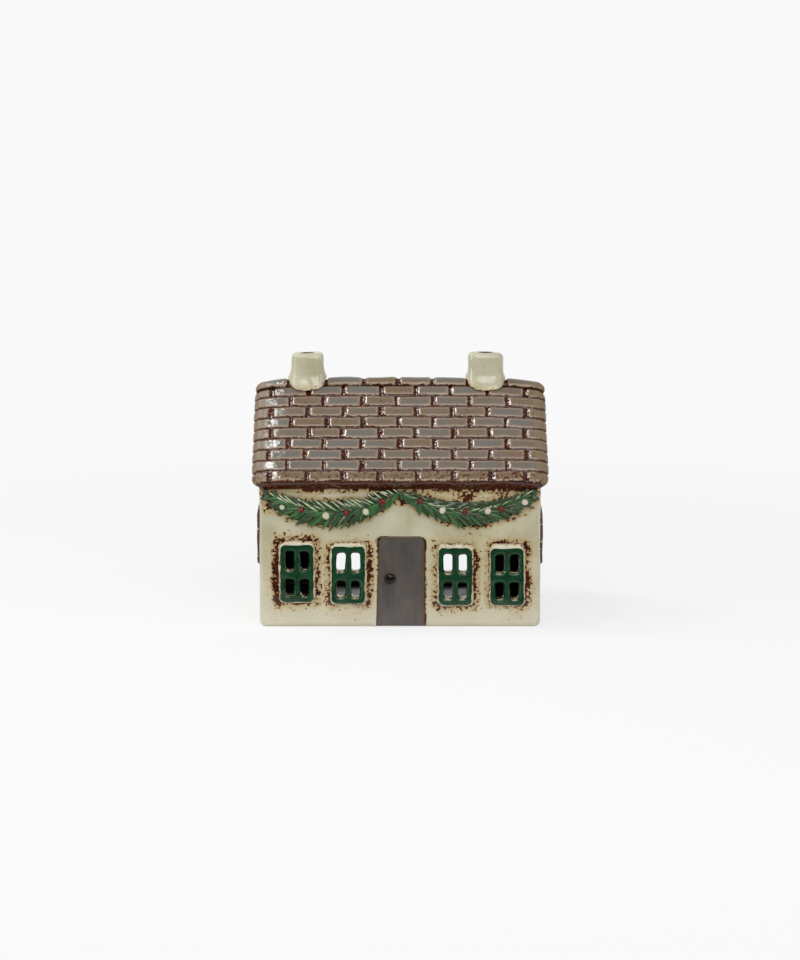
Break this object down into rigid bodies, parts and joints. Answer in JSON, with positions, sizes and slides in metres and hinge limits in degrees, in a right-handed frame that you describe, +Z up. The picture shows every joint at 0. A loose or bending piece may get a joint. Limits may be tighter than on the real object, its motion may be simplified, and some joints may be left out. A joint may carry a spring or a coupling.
{
  "type": "house tea light holder",
  "caption": "Glazed pottery cottage that holds a tea light: tiled roof, two chimneys with smoke holes, pierced windows, garland, arched opening at the back.",
  "frame": {"origin": "on the table under the house, in the middle of its footprint", "axes": "+X runs along the ridge to the right, +Y from the door to the back, +Z up"},
  "size_m": [0.138, 0.0927, 0.1253],
  "materials": {
    "cream_glaze": "gloss",
    "roof_glaze": "gloss",
    "door_glaze": "gloss",
    "black_glaze": "gloss",
    "green_glaze": "gloss",
    "leaf_glaze": "gloss",
    "red_glaze": "gloss",
    "white_glaze": "gloss"
  },
  "bodies": {
    "root": {"floor_slab": "cream_glaze", "front_wall": "cream_glaze", "back_wall": "cream_glaze", "left_gable_wall": "cream_glaze", "right_gable_wall": "cream_glaze", "front_roof_slab": "roof_glaze", "back_roof_slab": "roof_glaze", "ridge_cap": "roof_glaze", "left_chimney": "cream_glaze", "right_chimney": "cream_glaze", "door_panel": "door_glaze", "door_knob": "black_glaze", "window_outer_left": "green_glaze", "window_inner_left": "green_glaze", "window_inner_right": "green_glaze", "window_outer_right": "green_glaze", "left_gable_window": "green_glaze", "right_gable_window": "green_glaze", "garland_left": "leaf_glaze", "garland_right": "leaf_glaze", "berry_left_1": "red_glaze", "berry_left_2": "white_glaze", "berry_left_3": "red_glaze", "berry_left_4": "white_glaze", "berry_left_5": "red_glaze", "berry_left_6": "white_glaze", "berry_right_1": "red_glaze", "berry_right_2": "white_glaze", "berry_right_3": "red_glaze", "berry_right_4": "white_glaze", "berry_right_5": "red_glaze", "berry_right_6": "white_glaze"}
  },
  "joints": []
}
